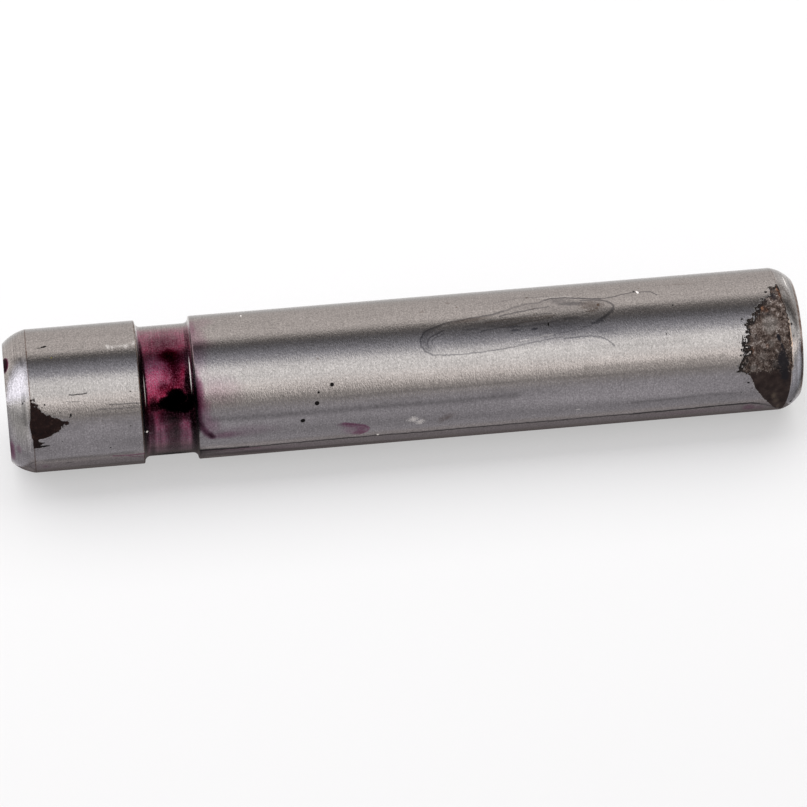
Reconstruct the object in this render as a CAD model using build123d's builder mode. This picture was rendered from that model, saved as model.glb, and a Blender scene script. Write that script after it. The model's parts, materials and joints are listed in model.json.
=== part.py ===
"""Bucket tooth pin: one turned and ground steel bar with a groove for its split retaining ring.

The pin stands on its plain end at z = 0 with its axis on +Z, so the ring groove is near the top.
Both ends were cropped from hot rolled bar. The shear flattened the bar and drew it over at each cut,
and the ground diameter never cleans up the low side, which faces -Y.
"""

from build123d import *
import math
import os

# Shank, ground to one diameter from end to end
shank_diameter = 25.0
pin_length = 138.4

# Crowned leads, one at each end
plain_lead_length = 3.5
plain_lead_depth = 2.1
grooved_lead_length = 4.1
grooved_lead_depth = 2.2
lead_crown = 0.35

# Groove for the split ring, under the head
head_length = 23.1
groove_width = 9.4
groove_depth = 1.2
groove_corner_radius = 1.0
groove_edge_break = 0.15

# Low side of each cropped end: its depth at the lead's shoulder, how far along the pin it runs
# from there, how far round it reaches to either side of its middle, in degrees, and how far
# the plain end's middle is turned from -Y, where the grooved end's is
plain_droop_depth = 0.36
plain_droop_length = 7.5
plain_droop_reach = 59.0
plain_droop_turn = 7.0
grooved_droop_depth = 0.12
grooved_droop_length = 6.9
grooved_droop_reach = 20.0

shank_radius = shank_diameter / 2
groove_floor_radius = shank_radius - groove_depth
groove_top = pin_length - head_length
groove_bottom = groove_top - groove_width


def cropped_bar(droop_depth, droop_length, droop_reach, lead_length):
    """Bar stock as the shear leaves it, with its drawn end at z = 0.

    Its centre line runs down the pin's axis and then along an arc towards +Y. The shift at the
    lead's shoulder, and the stock left round the shank, put the low side where the sizes say.
    """
    shift = droop_depth / (1 - math.cos(math.radians(droop_reach)))
    stock_left = shift - droop_depth
    arc_length = droop_length / (1 - math.sqrt(stock_left / shift))
    arc_radius = (arc_length**2 + shift**2) / (2 * shift)
    arc_start = lead_length + arc_length
    swing = math.degrees(math.asin((arc_start + lead_length) / arc_radius))

    with BuildPart() as bar:
        with BuildSketch(Plane.XY.offset(arc_start)) as section:
            Circle(shank_radius + stock_left)
        bend_axis = Axis((0, arc_radius, arc_start), (1, 0, 0))
        revolve(section.sketch, axis=bend_axis, revolution_arc=swing)
        extrude(section.sketch, amount=pin_length)
    return bar.part


plain_end_bar = cropped_bar(
    plain_droop_depth, plain_droop_length, plain_droop_reach, plain_lead_length
).rotate(Axis.Z, plain_droop_turn)
grooved_end_bar = cropped_bar(
    grooved_droop_depth, grooved_droop_length, grooved_droop_reach, grooved_lead_length
).mirror(Plane.XY.offset(pin_length / 2))

# Tooth pin: the turned profile, cut back to the bar it was made from
with BuildPart() as tooth_pin:
    with BuildSketch(Plane.XZ) as half_section:
        with BuildLine() as outline:
            plain_face = Line((0, 0), (shank_radius - plain_lead_depth, 0))
            plain_lead = SagittaArc(plain_face @ 1, (shank_radius, plain_lead_length), -lead_crown)
            shank = Line(plain_lead @ 1, (shank_radius, groove_bottom))
            ring_groove = Polyline(
                shank @ 1,
                (groove_floor_radius, groove_bottom),
                (groove_floor_radius, groove_top),
                (shank_radius, groove_top),
            )
            head = Line(ring_groove @ 1, (shank_radius, pin_length - grooved_lead_length))
            grooved_face_rim = (shank_radius - grooved_lead_depth, pin_length)
            grooved_lead = SagittaArc(head @ 1, grooved_face_rim, -lead_crown)
            Polyline(grooved_lead @ 1, (0, pin_length), (0, 0))
        make_face()
    revolve(axis=Axis.Z)

    groove_rings = tooth_pin.edges().filter_by(GeomType.CIRCLE).filter_by_position(
        Axis.Z, groove_bottom, groove_top
    )
    floor_rings = groove_rings.sort_by(lambda ring: ring.radius)[:2]
    mouth_rings = groove_rings.sort_by(lambda ring: ring.radius)[-2:]
    chamfer(mouth_rings, length=groove_edge_break)
    corner_limit = groove_depth - groove_edge_break
    fillet(floor_rings, radius=min(groove_corner_radius, 0.98 * corner_limit))

    add(plain_end_bar, mode=Mode.INTERSECT)
    add(grooved_end_bar, mode=Mode.INTERSECT)

tooth_pin.part.label = "tooth_pin"

os.makedirs("parts", exist_ok=True)
export_step(tooth_pin.part, "parts/tooth_pin.step")
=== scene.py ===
import json
import math

import bpy
from mathutils import Matrix, Vector, noise


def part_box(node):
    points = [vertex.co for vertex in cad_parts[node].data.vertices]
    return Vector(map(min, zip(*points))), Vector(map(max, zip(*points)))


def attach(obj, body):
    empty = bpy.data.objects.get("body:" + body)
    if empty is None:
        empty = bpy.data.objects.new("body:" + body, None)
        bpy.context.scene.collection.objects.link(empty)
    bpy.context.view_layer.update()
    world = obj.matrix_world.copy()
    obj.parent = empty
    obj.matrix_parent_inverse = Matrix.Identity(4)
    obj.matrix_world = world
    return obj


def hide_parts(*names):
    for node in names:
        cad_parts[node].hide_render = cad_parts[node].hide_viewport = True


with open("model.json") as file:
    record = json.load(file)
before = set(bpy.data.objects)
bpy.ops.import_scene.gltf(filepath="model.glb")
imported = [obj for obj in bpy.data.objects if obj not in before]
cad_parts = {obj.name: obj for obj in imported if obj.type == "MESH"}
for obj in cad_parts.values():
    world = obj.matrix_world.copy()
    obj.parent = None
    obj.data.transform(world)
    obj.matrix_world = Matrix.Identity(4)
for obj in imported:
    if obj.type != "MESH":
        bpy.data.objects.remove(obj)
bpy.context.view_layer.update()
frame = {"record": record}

mm = 0.001
low_corner, high_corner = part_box("tooth_pin")
pin_length = high_corner.z - low_corner.z
shank_radius = (high_corner.x - low_corner.x) / 2


# ---------------------------------------------------------------------------------------------
# Camera. The pin stands on its plain end in its own frame and is shown lying on its side, so
# the camera looks square at the side and is rolled until the pin's axis runs across the view,
# with the grooved end on the left.
# ---------------------------------------------------------------------------------------------

lens_mm = 203.3
camera_turn = math.radians(19.0)
camera_distance = 0.7947
camera_rise = 0.0638
aim_rise = 0.0003
aim_drop = 0.0059
camera_roll = math.radians(4.8)
camera_nearest = 0.05
camera_farthest = 10.0

toward_camera = Vector((math.sin(camera_turn), -math.cos(camera_turn), 0))
view_up = Vector((math.cos(camera_turn), math.sin(camera_turn), 0))
pin_middle = Vector((0, 0, pin_length / 2))
eye = pin_middle + toward_camera * camera_distance + Vector((0, 0, camera_rise))
aim = pin_middle - view_up * aim_drop + Vector((0, 0, aim_rise))
camera_back = (eye - aim).normalized()
level_right = view_up.cross(camera_back).normalized()
level_up = camera_back.cross(level_right)
camera_right = level_right * math.cos(camera_roll) - level_up * math.sin(camera_roll)
camera_up = level_right * math.sin(camera_roll) + level_up * math.cos(camera_roll)

bpy.ops.object.camera_add()
camera = bpy.context.object
camera.data.lens = lens_mm
camera.data.clip_start = camera_nearest
camera.data.clip_end = camera_farthest
camera_axes = Matrix((camera_right, camera_up, camera_back)).transposed().to_4x4()
camera.matrix_world = Matrix.Translation(eye) @ camera_axes
bpy.context.scene.camera = camera
bpy.context.scene.view_settings.view_transform = "Standard"


# ---------------------------------------------------------------------------------------------
# Studio light. Long softboxes and dark cards stand parallel to the pin all the way round it, and
# polished steel shows each as a band along the shank. They are the world's light, set out by
# their turn from the camera's side, with broader boxes past each end of the pin.
# ---------------------------------------------------------------------------------------------

def wire(tree, kind, *inputs, **settings):
    """Adds a node, sets its properties, then sets or links its inputs in order; None skips one."""
    made = tree.nodes.new("ShaderNode" + kind)
    for name, value in settings.items():
        setattr(made, name, value)
    for socket, value in zip(made.inputs, inputs):
        if isinstance(value, bpy.types.NodeSocket):
            tree.links.new(value, socket)
        elif value is not None:
            socket.default_value = value
    return made


def math_of(tree, operation, *inputs):
    return wire(tree, "Math", *inputs, operation=operation).outputs[0]


def fitted(tree, value, *limits):
    """A value moved from one range to another, held at their ends: low, high, new low, new high."""
    return wire(tree, "MapRange", value, *limits).outputs[0]


def ramp_of(tree, factor, stops):
    """Colour ramp with given stops, each a place from 0 to 1 and a colour."""
    made = wire(tree, "ValToRGB", factor)
    ramp = made.color_ramp
    while len(ramp.elements) > 1:
        ramp.elements.remove(ramp.elements[-1])
    for index, (place, colour) in enumerate(stops):
        element = ramp.elements[0] if index == 0 else ramp.elements.new(place)
        element.position = place
        element.color = (*colour, 1)
    return made.outputs[0]


def softboxes(tree, turn, boxes):
    """Bands of light by their turn from the camera's side, in degrees, towards the top of the view."""
    stops = [((degrees + 180) / 360, [level * part for part in tint]) for degrees, level, tint in boxes]
    return ramp_of(tree, turn, stops)


plain = (1.0, 0.98, 0.97)
warm = (1.06, 0.98, 0.94)
cool = (0.97, 0.965, 1.07)
dusk = (0.99, 0.95, 1.03)
box_strength = 2.0

side_boxes = [
    (-180, 0.400, plain), (-168, 0.230, dusk), (-150, 0.180, dusk), (-116, 0.168, dusk),
    (-104, 0.168, dusk), (-92, 0.118, dusk), (-72, 0.186, dusk), (-62, 0.178, dusk),
    (-55, 0.138, dusk), (-47, 0.192, dusk), (-36, 0.092, warm), (-24, 0.185, warm),
    (-16, 0.290, warm), (-9, 0.525, warm), (0, 0.365, plain), (16, 0.505, plain),
    (25, 0.475, plain), (32, 0.222, cool), (42, 0.174, cool), (55, 0.069, cool),
    (65, 0.037, warm), (72, 0.086, warm), (79, 0.310, warm), (92, 0.308, warm),
    (124, 0.270, warm), (140, 0.252, warm), (152, 0.265, plain), (162, 0.320, plain),
    (172, 0.420, plain), (180, 0.440, plain),
]
grooved_end_boxes = [
    (-180, 0.20, plain), (-150, 0.14, dusk), (-110, 0.16, dusk), (-60, 0.22, plain),
    (-40, 0.17, plain), (-20, 0.27, plain), (0, 0.46, plain), (10, 0.72, cool), (35, 0.84, cool),
    (52, 0.76, cool), (62, 0.54, cool), (71, 0.27, cool), (84, 0.13, warm), (94, 0.13, warm),
    (104, 0.30, warm), (150, 0.32, warm), (180, 0.36, plain),
]
plain_end_boxes = [
    (-180, 0.40, plain), (-160, 0.30, plain), (-150, 0.06, plain), (-138, 0.055, cool),
    (-118, 0.135, cool), (-84, 0.20, cool), (-55, 0.17, plain), (-37, 0.40, warm),
    (-17, 0.48, warm), (-4, 0.26, plain), (28, 0.35, plain), (45, 0.22, plain),
    (62, 0.045, plain), (80, 0.045, warm), (94, 0.11, warm), (112, 0.18, warm),
    (122, 0.40, plain), (150, 0.32, plain), (160, 0.45, plain), (180, 0.80, plain),
]
end_box_rise = (0.25, 0.60)
along_rise = (-0.165, 0.006)
side_box_twist = (0.149, -0.125)
untwisted_above = (math.radians(60), math.radians(76))
hot_spot_turn = -0.15
hot_spot_reach = (1.0, 0.4)
hot_spot_along = [
    (0.0, 0.10), (0.12, 0.08), (0.18, 0.0), (0.24, 0.01), (0.30, 0.26), (0.357, 0.46),
    (0.415, 0.52), (0.475, 0.45), (0.53, 0.21), (0.60, 0.03), (0.70, 0.0),
]

studio = bpy.data.worlds.new("studio")
bpy.context.scene.world = studio
studio.use_nodes = True
tree = studio.node_tree
tree.nodes.clear()
outward = wire(tree, "TexCoord").outputs["Generated"]
ahead = wire(tree, "VectorMath", outward, toward_camera, operation="DOT_PRODUCT").outputs["Value"]
above = wire(tree, "VectorMath", outward, view_up, operation="DOT_PRODUCT").outputs["Value"]
angle = math_of(tree, "ARCTAN2", above, ahead)
rise = wire(tree, "SeparateXYZ", outward).outputs["Z"]
twist = fitted(tree, rise, *along_rise, *side_box_twist)
twist = math_of(tree, "MULTIPLY", twist, fitted(tree, angle, *untwisted_above, 1.0, 0.0))
twisted = fitted(tree, math_of(tree, "ADD", angle, twist), -math.pi, math.pi, 0.0, 1.0)
turn = fitted(tree, angle, -math.pi, math.pi, 0.0, 1.0)
in_front = math_of(tree, "ABSOLUTE", math_of(tree, "SUBTRACT", angle, hot_spot_turn))
in_front = fitted(tree, in_front, *hot_spot_reach, 0.0, 1.0)
along = fitted(tree, rise, *along_rise, 0.0, 1.0)
along = ramp_of(tree, along, [(place, (level,) * 3) for place, level in hot_spot_along])
hot = math_of(tree, "MULTIPLY_ADD", in_front, along, 1.0)
light = softboxes(tree, twisted, side_boxes)
light = wire(tree, "VectorMath", light, None, None, hot, operation="SCALE").outputs["Vector"]
for side, boxes in ((1, grooved_end_boxes), (-1, plain_end_boxes)):
    past_end = fitted(tree, math_of(tree, "MULTIPLY", rise, side), *end_box_rise)
    both = wire(tree, "Mix", past_end, data_type="RGBA")
    tree.links.new(light, both.inputs[6])
    tree.links.new(softboxes(tree, turn, boxes), both.inputs[7])
    light = both.outputs[2]
band_background = wire(tree, "Background", light, box_strength).outputs[0]
white_background = wire(tree, "Background", (1, 1, 1, 1), 1.0).outputs[0]
seen = wire(tree, "LightPath").outputs["Is Camera Ray"]
shown = wire(tree, "MixShader", seen, band_background, white_background).outputs[0]
wire(tree, "OutputWorld", shown)

# The one box that throws a shadow hangs over the table, a little behind the pin
key_turn = math.radians(88.0)
key_distance = 0.50
key_width = 0.55
key_length = 1.30
key_power = 5.6
key_past_middle = 0.14

key_side = Vector((math.sin(key_turn), -math.cos(key_turn), 0))
key_place = pin_middle + key_side * key_distance + Vector((0, 0, key_past_middle))
bpy.ops.object.light_add(type="AREA", location=key_place)
key = bpy.context.object
key.rotation_euler = (-key_side).to_track_quat("-Z", "Y").to_euler()
key.data.shape = "RECTANGLE"
key.data.size = key_width
key.data.size_y = key_length
key.data.energy = key_power
key.visible_glossy = False
key.visible_camera = False


# ---------------------------------------------------------------------------------------------
# Table. A plain white top that the side of the shank touches. It shows from above only, so that
# the pin can be looked at from every side.
# ---------------------------------------------------------------------------------------------

table_turn = math.radians(66.0)
table_size = 3.0
table_glow = 0.43
table_white = (0.36, 0.36, 0.36, 1)
# To the steel's reflections alone the table is a dark glowing strip beside the pin and clear elsewhere:
# a painted reflection of the pin's own shadow on the table
shadow_strip = (3.0 * mm, 16.0 * mm)
strip_middle = 0.5
strip_reach = 0.499
shadow_in_steel = [
    (0.00, (0.09, 0.08, 0.08)), (0.35, (0.105, 0.090, 0.090)), (0.45, (0.13, 0.115, 0.115)),
    (0.55, (0.18, 0.16, 0.17)), (0.70, (0.20, 0.18, 0.19)), (0.77, (0.19, 0.17, 0.18)),
    (0.83, (0.30, 0.275, 0.28)),
]

table_up = Vector((math.sin(table_turn), -math.cos(table_turn), 0))
table_front = Vector((-math.cos(table_turn), -math.sin(table_turn), 0))
bpy.ops.object.select_all(action="DESELECT")
bpy.ops.mesh.primitive_plane_add(
    size=table_size,
    location=pin_middle - table_up * shank_radius,
    rotation=table_up.to_track_quat("Z", "Y").to_euler(),
)
table = bpy.context.object
table.name = "table"
bpy.ops.object.transform_apply(location=True, rotation=True, scale=True)

table_finish = bpy.data.materials.new("table_white")
table_finish.use_nodes = True
tree = table_finish.node_tree
tree.nodes.clear()
matt = wire(tree, "BsdfDiffuse", table_white).outputs[0]
glow = wire(tree, "Emission", (1, 1, 1, 1), table_glow).outputs[0]
lit_top = wire(tree, "AddShader", matt, glow).outputs[0]
clear = wire(tree, "BsdfTransparent").outputs[0]
table_place = wire(tree, "TexCoord").outputs["Object"]
out_in_front = wire(tree, "VectorMath", table_place, table_front, operation="DOT_PRODUCT")
across_strip = fitted(tree, out_in_front.outputs["Value"], *shadow_strip, 0.0, 1.0)
painted_shadow_glow = wire(tree, "Emission", ramp_of(tree, across_strip, shadow_in_steel), 1.0).outputs[0]
table_along = wire(tree, "SeparateXYZ", table_place).outputs["Z"]
beside_pin = math_of(tree, "COMPARE", table_along, pin_length / 2, pin_length / 2)
in_strip = math_of(tree, "COMPARE", across_strip, strip_middle, strip_reach)
in_strip = math_of(tree, "MULTIPLY", in_strip, beside_pin)
steel_view = wire(tree, "MixShader", in_strip, clear, painted_shadow_glow).outputs[0]
reflected = wire(tree, "LightPath").outputs["Is Glossy Ray"]
top_view = wire(tree, "MixShader", reflected, lit_top, steel_view).outputs[0]
underside = wire(tree, "NewGeometry").outputs["Backfacing"]
wire(tree, "OutputMaterial", wire(tree, "MixShader", underside, top_view, clear).outputs[0])
table.data.materials.append(table_finish)


# ---------------------------------------------------------------------------------------------
# The pin, as it leaves the lathe: one bar of hardened steel, faced at both ends, with a crowned
# lead at each end and a square-walled groove under the head for the split ring. Its half profile
# is drawn from the middle of the plain end face to the middle of the grooved one and spun.
# ---------------------------------------------------------------------------------------------

groove = next(mount for mount in frame["record"]["mounts"] if mount["name"] == "ring_groove")
groove_floor_radius = groove["dims"]["r_mm"] * mm
groove_width = groove["dims"]["length_mm"] * mm
groove_bottom = groove["pos_m"][2] - groove_width / 2
groove_top = groove_bottom + groove_width

plain_lead_length = 3.5 * mm
plain_lead_depth = 2.1 * mm
grooved_lead_length = 4.1 * mm
grooved_lead_depth = 2.2 * mm
lead_crown = 0.35 * mm
groove_corner_radius = 1.0 * mm
groove_edge_break = 0.15 * mm
facing_feed = 0.45 * mm
facing_mark_depth = 0.006 * mm
plain_lead_steps = 28
grooved_lead_steps = 18
corner_steps = 8
floor_steps = 8
head_steps = 4
joining_gap = 1e-7

# Part of the turn that holds the low sides, which need a close mesh, and how close
low_side_start = -64.0
low_side_sweep = 138.0
close_turn = 0.6
wide_turn = 2.0
close_rise = 0.15 * mm
wide_rise = 3.1 * mm
plain_close_height = 12.6 * mm
grooved_close_height = pin_length - 11.8 * mm

bpy.ops.object.select_all(action="DESELECT")
bpy.ops.mesh.primitive_plane_add(size=mm, location=(0, 0, 0))
pin = bpy.context.object
pin.name = "ground_pin"
pin.data.name = "ground_pin"
bpy.ops.object.mode_set(mode="EDIT")
bpy.ops.mesh.merge(type="CENTER")

profile_turn = math.radians(low_side_start)
profile_side = Vector((math.sin(profile_turn), -math.cos(profile_turn), 0))
tool = Vector((0, 0))


def cut_to(radius, height, steps=1, crown=0.0, marks=0.0):
    """Runs the profile on to a radius and height, bowed outwards by crown, with feed marks if any."""
    global tool
    start = tool.copy()
    chord = Vector((radius, height)) - start
    square = Vector((chord.y, -chord.x)).normalized()
    bow_radius = (chord.length_squared / 4 + crown**2) / (2 * crown) if crown else 0
    for step in range(1, steps + 1):
        share = step / steps
        bow = 0.0
        if crown:
            drop = math.sqrt(bow_radius**2 - (chord.length * (share - 0.5)) ** 2)
            bow = crown - math.copysign(abs(bow_radius) - drop, crown)
        dip = marks if step % 2 and step < steps else 0.0
        point = start + chord * share + square * (bow - dip)
        move = point - tool
        bpy.ops.mesh.extrude_region_move(
            TRANSFORM_OT_translate={"value": profile_side * move.x + Vector((0, 0, move.y))}
        )
        tool = point


def face_rings(radius):
    """Odd number of facing steps between the middle of a face and this radius."""
    return 2 * round(radius / facing_feed / 2) + 1


plain_face_radius = shank_radius - plain_lead_depth
grooved_face_radius = shank_radius - grooved_lead_depth
shoulder = pin_length - grooved_lead_length
close_steps = round((plain_close_height - plain_lead_length) / close_rise)
shank_steps = round((groove_bottom - plain_close_height) / wide_rise)
shoulder_steps = round((shoulder - grooved_close_height) / close_rise)
corner_crown = -groove_corner_radius * (1 - math.sqrt(0.5))

cut_to(plain_face_radius, 0, face_rings(plain_face_radius), marks=facing_mark_depth)
cut_to(shank_radius, plain_lead_length, plain_lead_steps, crown=lead_crown)
cut_to(shank_radius, plain_close_height, close_steps)
cut_to(shank_radius, groove_bottom - groove_edge_break, shank_steps)
cut_to(shank_radius - groove_edge_break, groove_bottom)
cut_to(groove_floor_radius + groove_corner_radius, groove_bottom)
cut_to(groove_floor_radius, groove_bottom + groove_corner_radius, corner_steps, crown=corner_crown)
cut_to(groove_floor_radius, groove_top - groove_corner_radius, floor_steps)
cut_to(groove_floor_radius + groove_corner_radius, groove_top, corner_steps, crown=corner_crown)
cut_to(shank_radius - groove_edge_break, groove_top)
cut_to(shank_radius, groove_top + groove_edge_break)
cut_to(shank_radius, grooved_close_height, head_steps)
cut_to(shank_radius, shoulder, shoulder_steps)
cut_to(grooved_face_radius, pin_length, grooved_lead_steps, crown=lead_crown)
cut_to(0, pin_length, face_rings(grooved_face_radius), marks=facing_mark_depth)

bpy.ops.mesh.select_all(action="SELECT")
for sweep, spacing in ((low_side_sweep, close_turn), (360 - low_side_sweep, wide_turn)):
    bpy.ops.mesh.spin(
        steps=round(sweep / spacing), angle=math.radians(sweep), center=(0, 0, 0), axis=(0, 0, 1)
    )
bpy.ops.mesh.select_all(action="SELECT")
bpy.ops.mesh.remove_doubles(threshold=joining_gap)
bpy.ops.mesh.normals_make_consistent(inside=False)
bpy.ops.object.mode_set(mode="OBJECT")


# ---------------------------------------------------------------------------------------------
# Low sides. Both ends were sheared from hot rolled bar, which drew it over at each cut, and the
# grinding wheel never reached the hollow: the bar's own skin is left there, under mill scale.
# The outline of each hollow is how far from the end face it runs at each turn round the pin.
# ---------------------------------------------------------------------------------------------

plain_end_outline = [
    (-61, 3.6), (-56, 4.8), (-43, 6.3), (-33, 7.6), (-23, 8.8), (-15, 9.5), (-8.2, 9.9),
    (-7.4, 11.2), (-5.5, 11.9), (2, 11.3), (7.5, 10.8), (16, 11.0), (23, 10.4), (30, 10.1),
    (37, 9.2), (44, 7.9), (52, 6.4), (60, 5.2), (70, 3.7),
]
grooved_end_outline = [
    (-23, 3.9), (-21, 7.2), (-19.3, 4.4), (-17.5, 6.4), (-14.5, 4.1), (-12.6, 7.0), (-7.5, 8.3),
    (-2.5, 10.0), (-1, 11.0), (1, 9.8), (2.5, 8.4), (6, 7.1), (11, 6.0), (15, 5.0), (18, 4.4),
    (22, 4.1),
]
plain_end_slope = 0.045
grooved_end_slope = 0.030
plain_lead_fall = 1
grooved_lead_fall = 2
no_hollow = -10.0
not_low = -1.0
smooth_angle = math.radians(30)
shoulder_play = 1e-6

# Roughness of the skin and teeth of its edge, in mm: crusted side, smooth side and grooved end
crusted_side_start = -8.0
crusted = (0.045, 1.5)
smooth = (0.008, 0.15)
at_grooved_face = (0.015, 0.5)
tooth_size = (0.42, 1.8)
lump_size = 0.55
teeth_slice = 3.0
lumps_slice = 9.0


def along_outline(outline, turn):
    """Reach of a hollow at this turn, straight between its points; none past its ends."""
    for (turn_a, reach_a), (turn_b, reach_b) in zip(outline, outline[1:]):
        if turn_a <= turn <= turn_b:
            return reach_a + (reach_b - reach_a) * (turn - turn_a) / (turn_b - turn_a)
    return no_hollow


def skin_depth(turn, from_end, outline, slope, roughness, tooth):
    """How far the bar's skin lies under the ground diameter, in mm; less than 0 outside the hollow."""
    around = math.radians(turn) * shank_radius / mm
    tooth_place = Vector((around / tooth_size[0], (from_end + around) / tooth_size[1], teeth_slice))
    reach = along_outline(outline, turn) + tooth * noise.noise(tooth_place)
    lump_place = Vector((around / lump_size, from_end / lump_size, lumps_slice))
    lumps = noise.fractal(lump_place, 0.6, 2.0, 4)
    return slope * (reach - from_end) + roughness * lumps


scale_depth = pin.data.attributes.new("scale_depth", "FLOAT", "POINT")
for vertex in pin.data.vertices:
    x, y, z = vertex.co
    depth = not_low
    radius = math.hypot(x, y)
    if radius > grooved_face_radius:
        turn = math.degrees(math.atan2(x, -y))
        under_ground = (shank_radius - radius) / mm
        if z < plain_close_height:
            finish = crusted if turn > crusted_side_start else smooth
            depth = skin_depth(turn, z / mm, plain_end_outline, plain_end_slope, *finish)
            depth -= under_ground * plain_lead_fall
        else:
            if z > grooved_close_height:
                from_end = (pin_length - z) / mm
                finish = at_grooved_face
                depth = skin_depth(turn, from_end, grooved_end_outline, grooved_end_slope, *finish)
            depth -= under_ground * grooved_lead_fall
        if depth > 0:
            vertex.co.xy *= (radius - depth * mm) / radius
    scale_depth.data[vertex.index].value = depth

bpy.ops.object.select_all(action="DESELECT")
pin.select_set(True)
bpy.context.view_layer.objects.active = pin
bpy.ops.object.shade_smooth_by_angle(angle=smooth_angle)

# Both leads meet the shank at a crisp shoulder
for edge in pin.data.edges:
    heights = [pin.data.vertices[index].co.z for index in edge.vertices]
    for crisp in (plain_lead_length, shoulder):
        if max(abs(height - crisp) for height in heights) < shoulder_play:
            edge.use_edge_sharp = True


# ---------------------------------------------------------------------------------------------
# Finish of the pin. Centreless ground steel with fine marks round it and turned leads, mill scale
# and rust in the low sides, violet dye that ran into the groove and over its lower edge, an oil
# film that dried with a tide line, and the small smudges and dots of handling. Some light and
# shade is painted into the colour too: darker streaks and brighter areas in the steel, shade in
# the groove's corners and along the lower side, a dark line along the underside and thin highlights.
# ---------------------------------------------------------------------------------------------

def new_group(name, *inputs):
    """Empty node group of plain numbers with one mask out; returns it and its two ends' sockets."""
    group = bpy.data.node_groups.new(name, "ShaderNodeTree")
    for label in inputs:
        group.interface.new_socket(label, in_out="INPUT", socket_type="NodeSocketFloat")
    group.interface.new_socket("Mask", in_out="OUTPUT", socket_type="NodeSocketFloat")
    return group, group.nodes.new("NodeGroupInput").outputs, group.nodes.new("NodeGroupOutput").inputs


def use_group(tree, group, *inputs):
    made = tree.nodes.new("ShaderNodeGroup")
    made.node_tree = group
    for socket, value in zip(made.inputs, inputs):
        if isinstance(value, bpy.types.NodeSocket):
            tree.links.new(value, socket)
        else:
            socket.default_value = value
    return made.outputs[0]


def vector_of(tree, operation, *inputs):
    made = wire(tree, "VectorMath", *inputs, operation=operation)
    return made.outputs["Value" if operation in ("LENGTH", "DOT_PRODUCT") else "Vector"]


def blend_of(tree, amount, under, over, kind="MIX"):
    """One colour over another by an amount."""
    made = wire(tree, "Mix", amount, data_type="RGBA", blend_type=kind)
    for socket, value in ((made.inputs[6], under), (made.inputs[7], over)):
        if isinstance(value, bpy.types.NodeSocket):
            tree.links.new(value, socket)
        else:
            socket.default_value = (*value, 1)
    return made.outputs[2]


def between(tree, value, *limits):
    """Smooth step of a value from one limit to the other, as 0 to 1 or the levels given."""
    levels = limits[2:] or (0.0, 1.0)
    settings = {"interpolation_type": "SMOOTHSTEP", "clamp": False}
    return wire(tree, "MapRange", value, *limits[:2], *levels, **settings).outputs[0]


# A mark is an oval patch on the rolled-out surface, soft and ragged at its edge
mark, given, made = new_group(
    "mark", "Round", "Down", "Edge Noise", "Middle Round", "Middle Down", "Reach Round", "Reach Down",
    "Lean", "Softness", "Ragged", "Strength",
)
off_round = math_of(mark, "SUBTRACT", given["Round"], given["Middle Round"])
off_down = math_of(mark, "SUBTRACT", given["Down"], given["Middle Down"])
cosine = math_of(mark, "COSINE", given["Lean"])
sine = math_of(mark, "SINE", given["Lean"])
level = math_of(mark, "MULTIPLY", off_round, cosine)
level = math_of(mark, "SUBTRACT", level, math_of(mark, "MULTIPLY", off_down, sine))
level = math_of(mark, "DIVIDE", level, given["Reach Round"])
level = math_of(mark, "MULTIPLY", level, level)
upright = math_of(mark, "MULTIPLY", off_round, sine)
upright = math_of(mark, "ADD", upright, math_of(mark, "MULTIPLY", off_down, cosine))
upright = math_of(mark, "DIVIDE", upright, given["Reach Down"])
far = math_of(mark, "SQRT", math_of(mark, "MULTIPLY_ADD", upright, upright, level))
far = math_of(mark, "MULTIPLY_ADD", given["Edge Noise"], given["Ragged"], far)
inside = between(mark, far, 1.0, math_of(mark, "SUBTRACT", 1.0, given["Softness"]))
mark.links.new(math_of(mark, "MULTIPLY", inside, given["Strength"]), made["Mask"])

# A stroke is a straight line on the rolled-out surface
stroke, given, made = new_group(
    "stroke", "Round", "Down", "Start Round", "Start Down", "Run Round", "Run Down", "Width",
    "Softness", "Strength",
)
off_round = math_of(stroke, "SUBTRACT", given["Round"], given["Start Round"])
off_down = math_of(stroke, "SUBTRACT", given["Down"], given["Start Down"])
run_squared = math_of(stroke, "MULTIPLY", given["Run Round"], given["Run Round"])
down_squared = math_of(stroke, "MULTIPLY", given["Run Down"], given["Run Down"])
run_squared = math_of(stroke, "ADD", run_squared, down_squared)
along = math_of(stroke, "MULTIPLY", off_down, given["Run Down"])
along = math_of(stroke, "MULTIPLY_ADD", off_round, given["Run Round"], along)
share = math_of(stroke, "MAXIMUM", math_of(stroke, "DIVIDE", along, run_squared), 0.0)
share = math_of(stroke, "MINIMUM", share, 1.0)
gone_round = math_of(stroke, "MULTIPLY", share, given["Run Round"])
off_round = math_of(stroke, "SUBTRACT", off_round, gone_round)
gone_down = math_of(stroke, "MULTIPLY", share, given["Run Down"])
off_down = math_of(stroke, "SUBTRACT", off_down, gone_down)
far = math_of(stroke, "MULTIPLY", off_round, off_round)
far = math_of(stroke, "SQRT", math_of(stroke, "MULTIPLY_ADD", off_down, off_down, far))
far = math_of(stroke, "DIVIDE", far, given["Width"])
inside = between(stroke, far, 1.0, math_of(stroke, "SUBTRACT", 1.0, given["Softness"]))
stroke.links.new(math_of(stroke, "MULTIPLY", inside, given["Strength"]), made["Mask"])


def rolled_out(turn, down):
    """Place on the rolled-out surface, in mm, from a turn in degrees and mm below the grooved end."""
    return math.radians(turn) * shank_radius / mm, down


def marks_of(tree, rows, edges, joined="MAXIMUM"):
    """Many marks in one mask. A row is a mark's turn, how far down it is, its reach round the pin
    and down it, its lean in degrees, softness, raggedness and strength."""
    whole = None
    for turn, down, round_reach, down_reach, lean, softness, ragged, strength in rows:
        one = use_group(
            tree, mark, *place, edges, *rolled_out(turn, down), round_reach, down_reach,
            math.radians(lean), softness, ragged, strength,
        )
        whole = one if whole is None else math_of(tree, joined, whole, one)
    return whole


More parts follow.
